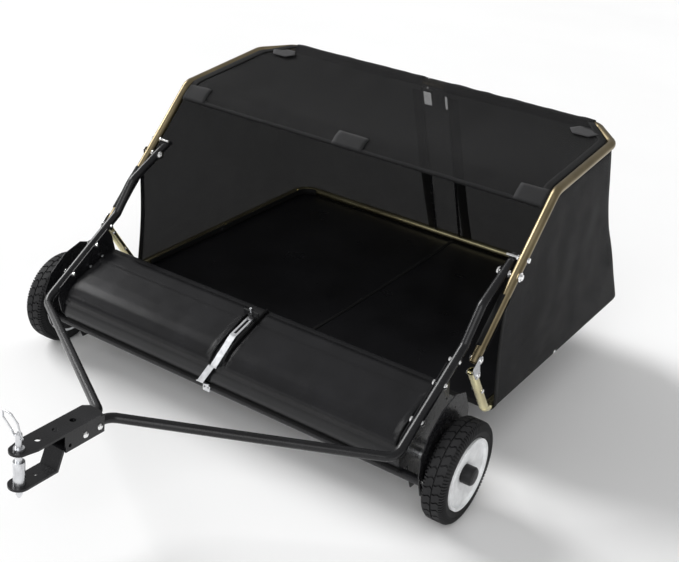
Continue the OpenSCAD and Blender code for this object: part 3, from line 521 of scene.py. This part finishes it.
def roof_profile():
    """Roof line from the hem rod to the rear tube, in the (behind the axle, height) plane."""
    hem_low, hem_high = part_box("hem_rod")
    hem = (hem_low.y / 2 + hem_high.y / 2 - AXLE_Y, hem_low.z / 2 + hem_high.z / 2)
    lift = 0.006
    points = [(hem[0] - 0.002, hem[1] - 0.006), (hem[0] - 0.005, hem[1] + 0.001),
              (hem[0], hem[1] + 0.0055)]
    for t in (0.25, 0.5, 0.75, 1.0):
        a = mix(hem[0], BEND[0] + 0.012, t)
        b = mix(hem[1] + 0.0055, BEND[1] + lift, t ** 0.8)
        points.append((a, b))
    for k in range(1, 25):
        y = mix(BEND[0] + 0.012, TOP_REAR[0] - 0.004, k / 24)
        base = on_line(BEND, TOP_REAR, y)
        points.append((y, base[1] + lift + 0.0095 * smooth((k - 19) / 5)))
    points += [(TOP_REAR[0] + 0.006, TOP_REAR[1] + 0.0138), (TOP_REAR[0] + 0.0125, TOP_REAR[1] + 0.008),
               (TOP_REAR[0] + 0.0143, TOP_REAR[1]), (TOP_REAR[0] + 0.0135, TOP_REAR[1] - 0.016)]
    return points


ROOF_COLUMNS = 72


def roof_half_width(y):
    """Half the roof's width y behind the axle, narrower across the cut corners."""
    inner = SIDE_X - TUBE_R - 0.001
    start = TOP_REAR[0] - CORNER_Y - 0.012
    if y <= start:
        return inner
    return inner - (CORNER_X + 0.004) * min(1.0, (y - start) / (CORNER_Y + 0.006))


def roof_rows(sagging):
    """Rows of the roof from hem to rear tube; sagging adds its dip and its folds."""
    dip, fold_size, drape_size = ROOF_WAVES
    rows = []
    profile = roof_profile()
    for i, (y, z) in enumerate(profile):
        v = i / (len(profile) - 1)
        half = roof_half_width(y)
        row = []
        for k in range(ROOF_COLUMNS + 1):
            u = 2 * k / ROOF_COLUMNS - 1
            p = at(u * half, (y, z))
            if sagging:
                deep = (1 - u * u) * math.sin(math.pi * min(1.0, max(0.0, (v - 0.08) / 0.80))) ** 0.8
                edge = smooth((1 - abs(u)) * 9)
                fold = noise.noise(Vector((p.x * 2.6, p.y * 5.5, 1.7))) * fold_size
                drape = noise.noise(Vector((p.x * 14, p.y * 4.0, 5.2))) * drape_size
                p.z -= deep * dip
                if 0.06 < v < 0.86:
                    p.z += edge * (fold + drape)
            row.append(p)
        rows.append(row)
    return rows


def build_roof():
    rows = roof_rows(True)
    flat_rows = roof_rows(False)
    roof = new_piece("bag_roof", grid_mesh("bag_roof", rows), ROOF_MESH, "hopper")
    thicken(roof, CLOTH)
    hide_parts("bag_top")
    return rows


def build_floor():
    dip, fold_size, drape_size = FLOOR_WAVES
    columns, depth = 60, 44
    front = WALL_FRONT_LOW_Y
    rear = FLOOR_REAR[0]

    def rows_of(sagging):
        rows = []
        for i in range(depth + 1):
            v = i / depth
            y = mix(front, rear, v)
            past = max(0.0, y - (rear - FLOOR_ROUND))
            half = SIDE_X - FLOOR_ROUND + math.sqrt(max(0.0, FLOOR_ROUND ** 2 - past ** 2))
            row = []
            for k in range(columns + 1):
                u = 2 * k / columns - 1
                base = on_line(FLOOR_FRONT, FLOOR_REAR, y)
                p = at(u * half, (y, base[1] - UNDER))
                if sagging:
                    edge = smooth((1 - abs(u)) * 7) * smooth(v * 9 + 0.15) * smooth((1 - v) * 9)
                    p.z -= dip * (1 - u * u) * math.sin(math.pi * v) ** 0.7
                    p.z += edge * noise.noise(Vector((p.x * 2.2, p.y * 2.8, 8.1))) * fold_size
                    p.z += edge * noise.noise(Vector((p.x * 7.0, p.y * 8.0, 2.4))) * drape_size
                row.append(p)
            rows.append(row)
        return rows

    rows = rows_of(True)
    flat_rows = rows_of(False)
    floor = new_piece("bag_floor_sheet", grid_mesh("bag_floor_sheet", rows), MATERIALS["bag_sheet"],
                      "hopper")
    thicken(floor, CLOTH)
    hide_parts("bag_floor")
    return rows


def ribbon(name, path, across, width, material, lift=0.0):
    """A strip of tape along a path; across gives the strip's sideways direction at each point."""
    rows = []
    for p, side in zip(path, across):
        rows.append([p + side * width * s + Vector((0, 0, lift)) for s in (-0.5, -0.17, 0.17, 0.5)])
    return thicken(new_piece(name, grid_mesh(name, rows), material, "hopper"), 0.0014)


def build_tapes(wall, roof):
    """Tape down both front edges of the wall, and along both sides of the roof."""
    last = len(wall[0]) - 1
    for name, column, inner in (("binding_right", 0, 1), ("binding_left", last, last - 1)):
        path = [row[column] for row in wall]
        across = [(row[inner] - row[column]).normalized() for row in wall]
        path = [p + side * 0.008 for p, side in zip(path, across)]
        for p in path:
            p.x += math.copysign(0.0015, p.x)
        ribbon(name, path, across, 0.020, BINDING)
    sides = (("roof_tape_right", ROOF_COLUMNS, ROOF_COLUMNS - 1), ("roof_tape_left", 0, 1))
    for name, column, inner in sides:
        rows = roof[3:-5]
        path = [row[column].copy() for row in rows]
        across = [(row[inner] - row[column]).normalized() for row in rows]
        path = [p + side * 0.011 for p, side in zip(path, across)]
        ribbon(name, path, across, 0.024, BINDING, 0.0018)


def build_hems(roof):
    """Rolled hems of the roof at both ends, and the webbing tabs on the hem rod."""
    # rear hem, round the top rear tube on either side of the middle gap
    gap, reach = 0.040, SIDE_X - CORNER_X - 0.012
    for name, side in (("rear_sleeve_right", 1), ("rear_sleeve_left", -1)):
        path = resample([at(side * gap, TOP_REAR), at(side * reach, TOP_REAR)], 60)
        sleeve = tube_mesh(name, path, TUBE_R + 0.003, 20, wrinkle=0.0022)
        thicken(new_piece(name, sleeve, MATERIALS["bag_fabric"], "hopper"), 0.001)
    # front hem round the hem rod
    hem_low, hem_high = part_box("hem_rod")
    hem = Vector((0, (hem_low.y + hem_high.y) / 2, (hem_low.z + hem_high.z) / 2))
    half = SIDE_X - TUBE_R - 0.012
    path = resample([hem - Vector((half, 0, 0)), hem + Vector((half, 0, 0))], 90)
    sleeve = tube_mesh("hem_sleeve", path, 0.0062, 12, wrinkle=0.0012)
    thicken(new_piece("hem_sleeve", sleeve, MATERIALS["bag_fabric"], "hopper"), 0.0008)
    # webbing tabs that hold the hem rod
    meshes = []
    for x in (-SIDE_X + 0.045, 0.0, SIDE_X - 0.045):
        k = round((x / (2 * roof_half_width(0)) + 0.5) * ROOF_COLUMNS)
        rows = []
        for j in range(9):
            column = max(0, min(ROOF_COLUMNS, k + (j - 4) * 0.75))
            low = int(column)
            high = min(low + 1, ROOF_COLUMNS)
            points = [row[low].lerp(row[high], column - low) for row in roof[0:6]]
            rows.append([p + Vector((0, -0.0012, 0.0022)) for p in points])
        meshes.append(grid_mesh("tab", rows))
    tabs = new_piece("hem_webbing", join_meshes("hem_webbing", meshes), TAB_CLOTH,
                     "hopper")
    thicken(tabs, 0.0016)
    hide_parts("hem_tabs")


def build_sleeves():
    """Sleeves that hold the wall to the tubes, each open on the side where its tube shows."""
    # round the floor tubes, open over the top so that the tubes show inside the hopper
    for name, side in (("floor_sleeve_right", 1), ("floor_sleeve_left", -1)):
        front, arc, back = rounded_rear(side, 0.0)
        start = front.lerp(arc[0], 0.035)
        path = resample([start] + arc, 70)
        turn = (-112, 38) if side < 0 else (142, 292)
        sleeve = tube_mesh(name, path, TUBE_R + 0.0028, 14, turn, 0.0018)
        thicken(new_piece(name, sleeve, BINDING, "hopper"), 0.001)
    # on the lower part of each slanted tube, slit open along its front outer side
    for name, side in (("slant_sleeve_right", 1), ("slant_sleeve_left", -1)):
        ends = [at(side * SIDE_X, on_line(JOINT, BEND, y)) for y in (0.258, 0.158)]
        sleeve = tube_mesh(name, resample(ends, 26), TUBE_R + 0.0024, 20, (188, 462), 0.0016)
        thicken(new_piece(name, sleeve, BINDING, "hopper"), 0.001)


def build_patches():
    """Patches of open mesh in the roof's rear corners."""
    for name, side in (("corner_patch_right", 1), ("corner_patch_left", -1)):
        centre = at(side * (SIDE_X - 0.092), on_line(BEND, TOP_REAR, TOP_REAR[0] - 0.078))
        rows = []
        for i in range(7):
            v = i / 6 * 2 - 1
            half = 0.044 * (1 - 0.45 * abs(v))
            lift = 0.0092 + v * 0.004
            rows.append([centre + Vector((half * (2 * k / 8 - 1), v * 0.030, lift))
                         for k in range(9)])
        patch = new_piece(name, grid_mesh(name, rows), PATCH_MESH, "hopper")
        thicken(patch, 0.001)


def build_seams(wall, floor):
    """The floor sheet's seam and front hem, and two dark bands down the back wall."""
    middle = len(floor[0]) // 2
    seam = [row[middle] + Vector((0.020, 0, 0.0014)) for row in floor]
    ribbon("floor_seam", seam, [Vector((1, 0, 0))] * len(seam), 0.011, BINDING)
    hem_path = [p + Vector((0, 0.006, 0.0012)) for p in floor[0]]
    ribbon("floor_front_hem", hem_path, [Vector((0, 1, 0))] * len(hem_path), 0.022, BINDING)
    centre = len(wall[0]) // 2
    for name, first, second in (("back_band_left", 3, 5), ("back_band_right", -5, -3)):
        rows = [[row[centre + k] + Vector((0, -0.003, 0)) for k in range(first, second + 1)]
                for row in wall[1:-4]]
        thicken(new_piece(name, grid_mesh(name, rows), BINDING, "hopper"), 0.0012)


wall = build_wall()
roof = build_roof()
floor_sheet = build_floor()
build_tapes(wall, roof)
build_hems(roof)
build_sleeves()
build_patches()
build_seams(wall, floor_sheet)


# ---------- tyres ----------

BLOCKS, RIBS, AROUND = 34, 96, 128
GROOVE = 0.0035
TREAD_DEPTH = 0.006


def tread_mesh(name, side):
    """Carcass with two rows of wavy tread blocks, a centre groove and ribbed shoulders."""
    low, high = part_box("tyre_right" if side > 0 else "tyre_left")
    middle = (low.x + high.x) / 2
    half = (high.x - low.x) / 2
    outer = (high.z - low.z) / 2
    disc_low, disc_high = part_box("wheel_disc_right")
    rim = (disc_high.z - disc_low.z) / 2 - 0.004
    work = bmesh.new()

    def point(x, r, a):
        return work.verts.new((middle + x, AXLE_Y + r * math.cos(a), AXLE_Z + r * math.sin(a)))

    deep = outer - TREAD_DEPTH
    section = [(-half + 0.003, rim), (-half, rim + 0.014), (-half + 0.001, outer - 0.020),
               (-half + 0.005, deep - 0.004), (-half + 0.012, deep), (half - 0.012, deep),
               (half - 0.005, deep - 0.004), (half - 0.001, outer - 0.020),
               (half, rim + 0.014), (half - 0.003, rim)]
    rings = [[point(x, r, 2 * math.pi * k / AROUND) for x, r in section] for k in range(AROUND)]
    for k in range(AROUND):
        a, b = rings[k], rings[(k + 1) % AROUND]
        for j in range(len(section) - 1):
            work.faces.new((a[j], b[j], b[j + 1], a[j + 1]))

    def block(x0, x1, a0, a1, wave, phase):
        """One tread block, its sides following the wave."""
        steps = 6
        sides = []
        for a_base in (a0, a1):
            line = []
            for k in range(steps + 1):
                t = k / steps
                x = mix(x0, x1, t)
                shift = wave * math.sin(t * 2 * math.pi + phase)
                crown = outer - 0.0012 - 0.0035 * (abs(x) / half) ** 4
                line.append((point(x, deep - 0.001, a_base + shift), point(x, crown, a_base + shift)))
            sides.append(line)
        for line, flip in ((sides[0], False), (sides[1], True)):
            for p, q in zip(line, line[1:]):
                quad = (p[0], q[0], q[1], p[1])
                work.faces.new(quad[::-1] if flip else quad)
        for p, q, r, s in zip(sides[0], sides[0][1:], sides[1][1:], sides[1]):
            work.faces.new((p[1], q[1], r[1], s[1]))
        for k in (0, -1):
            (a, b), (c, d) = sides[0][k], sides[1][k]
            work.faces.new((a, b, d, c))

    pitch = 2 * math.pi / BLOCKS
    for k in range(BLOCKS):
        halves = ((GROOVE / 2, half - 0.009, 0.0), (-half + 0.009, -GROOVE / 2, pitch / 2))
        for x0, x1, offset in halves:
            a = k * pitch + offset
            block(x0, x1, a, a + pitch * 0.80, pitch * 0.12, 0.4)
    rib = 2 * math.pi / RIBS
    for k in range(RIBS):
        for sign in (-1, 1):
            a0, a1 = k * rib, (k + 0.55) * rib
            corners = []
            for a in (a0, a1):
                for x, r in ((half - 0.010, outer - 0.0022), (half - 0.0025, outer - 0.007),
                             (half + 0.0006, outer - 0.024), (half - 0.002, outer - 0.025),
                             (half - 0.010, outer - 0.009)):
                    corners.append(point(sign * x, r, a))
            n = len(corners) // 2
            for j in range(n):
                after = (j + 1) % n
                work.faces.new((corners[j], corners[after], corners[n + after], corners[n + j]))
            work.faces.new(corners[:n])
            work.faces.new(corners[n:][::-1])
    bmesh.ops.recalc_face_normals(work, faces=work.faces)
    mesh = bpy.data.meshes.new(name)
    work.to_mesh(mesh)
    work.free()
    return mesh


for side_name, sign in (("left", -1), ("right", 1)):
    tyre = new_piece(f"tread_{side_name}", tread_mesh(f"tread_{side_name}", sign),
                     MATERIALS["tyre"], f"{side_name}_wheel")
    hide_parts(f"tyre_{side_name}")


# ---------- brush bristles ----------

TUFT_PITCH, STRANDS, ROWS = 0.0075, 5, 4
ROOT_R = 0.040
# share of the strand's length, and its radius there
STRAND_TAPER = ((0.0, 0.0011), (0.55, 0.0010), (1.0, 0.0007))


def build_bristles():
    low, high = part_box("bristle_rows")
    shaft_low, shaft_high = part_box("brush_shaft")
    centre = Vector((0, (shaft_low.y + shaft_high.y) / 2, (shaft_low.z + shaft_high.z) / 2))
    tip = (high.z - low.z) / 2
    points, faces = [], []

    def strand(x, direction, across, lean, sway):
        base = len(points)
        for t, thick in STRAND_TAPER:
            bend = t * t
            p = centre + direction * mix(ROOT_R, tip - 0.001, t)
            p = p + Vector((x + sway * bend, 0, 0)) + across * lean * bend
            for k in range(3):
                a = 2 * math.pi * k / 3
                points.append(p + Vector((thick * math.cos(a), 0, 0)) + across * thick * math.sin(a))
        for ring in (0, 3):
            for k in range(3):
                a, b = base + ring + k, base + ring + (k + 1) % 3
                faces.append((a, b, b + 3, a + 3))
        faces.append((base + 6, base + 7, base + 8))

    count = int((high.x - low.x) / TUFT_PITCH)
    for row in range(ROWS):
        angle = math.pi / 2 * row
        direction = Vector((0, math.cos(angle), math.sin(angle)))
        across = Vector((0, -math.sin(angle), math.cos(angle)))
        for k in range(count):
            x = low.x + (k + 0.5) * TUFT_PITCH
            for _ in range(STRANDS):
                strand(x + random.uniform(-0.003, 0.003), direction, across,
                       random.uniform(-0.009, 0.009), random.uniform(-0.004, 0.004))
    bristles = new_piece("brush_bristles", mesh_from("brush_bristles", points, faces),
                         MATERIALS["bristle"], "brush")
    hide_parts("bristle_rows")


build_bristles()


# ---------- floor, lights and camera ----------

def build_stage():
    s = Shader("pale_floor", (0.93, 0.93, 0.93), 0.7)
    s.vary_color(s.noise(0.7, 3), 0.985, 1.015)
    bpy.ops.mesh.primitive_plane_add(size=60, location=(0, 0, 0))
    ground = bpy.context.object
    ground.name = "studio_floor"
    ground.data.materials.append(s.material)


def soft_sun(name, toward, power, spread):
    """A wide, even light from one side, like a large studio softbox far away."""
    light = bpy.data.lights.new(name, "SUN")
    light.energy = power
    light.angle = math.radians(spread)
    lamp = bpy.data.objects.new(name, light)
    bpy.context.scene.collection.objects.link(lamp)
    lamp.rotation_euler = Vector(toward).to_track_quat("Z", "Y").to_euler()


def build_lights():
    world = bpy.data.worlds.new("studio")
    bpy.context.scene.world = world
    world.use_nodes = True
    world.node_tree.nodes["Background"].inputs["Color"].default_value = (1, 1, 1, 1)
    world.node_tree.nodes["Background"].inputs["Strength"].default_value = 0.40
    soft_sun("key", (-0.95, -0.02, 0.62), 2.9, 34)
    soft_sun("fill", (0.30, -0.95, 0.50), 1.4, 50)


# camera fitted to the photographed view; the place is in metres, with y from the axle
CAMERA_PLACE = (1.6325, -2.3503, 1.7740)
CAMERA_AZIMUTH, CAMERA_ELEVATION, CAMERA_ROLL = 34.04, 25.33, 5.22
LENS_SHARE = 1173.94 / 679
CAMERA_SHIFT = (0.114, 0.006)


def build_camera():
    data = bpy.data.cameras.new("camera")
    data.sensor_width = 36
    data.lens = LENS_SHARE * data.sensor_width
    data.shift_x, data.shift_y = CAMERA_SHIFT
    data.clip_end = 200
    camera = bpy.data.objects.new("camera", data)
    bpy.context.scene.collection.objects.link(camera)
    a, e, r = map(math.radians, (CAMERA_AZIMUTH, CAMERA_ELEVATION, CAMERA_ROLL))
    back = Vector((math.sin(a) * math.cos(e), -math.cos(a) * math.cos(e), math.sin(e)))
    right = Vector((math.cos(a), math.sin(a), 0))
    up = back.cross(right)
    right, up = right * math.cos(r) + up * math.sin(r), up * math.cos(r) - right * math.sin(r)
    turn = Matrix((right, up, back)).transposed().to_4x4()
    x, y, z = CAMERA_PLACE
    camera.matrix_world = Matrix.Translation((x, y + AXLE_Y, z)) @ turn
    bpy.context.scene.camera = camera


build_stage()
build_lights()
build_camera()
bpy.context.scene.view_settings.view_transform = "Standard"
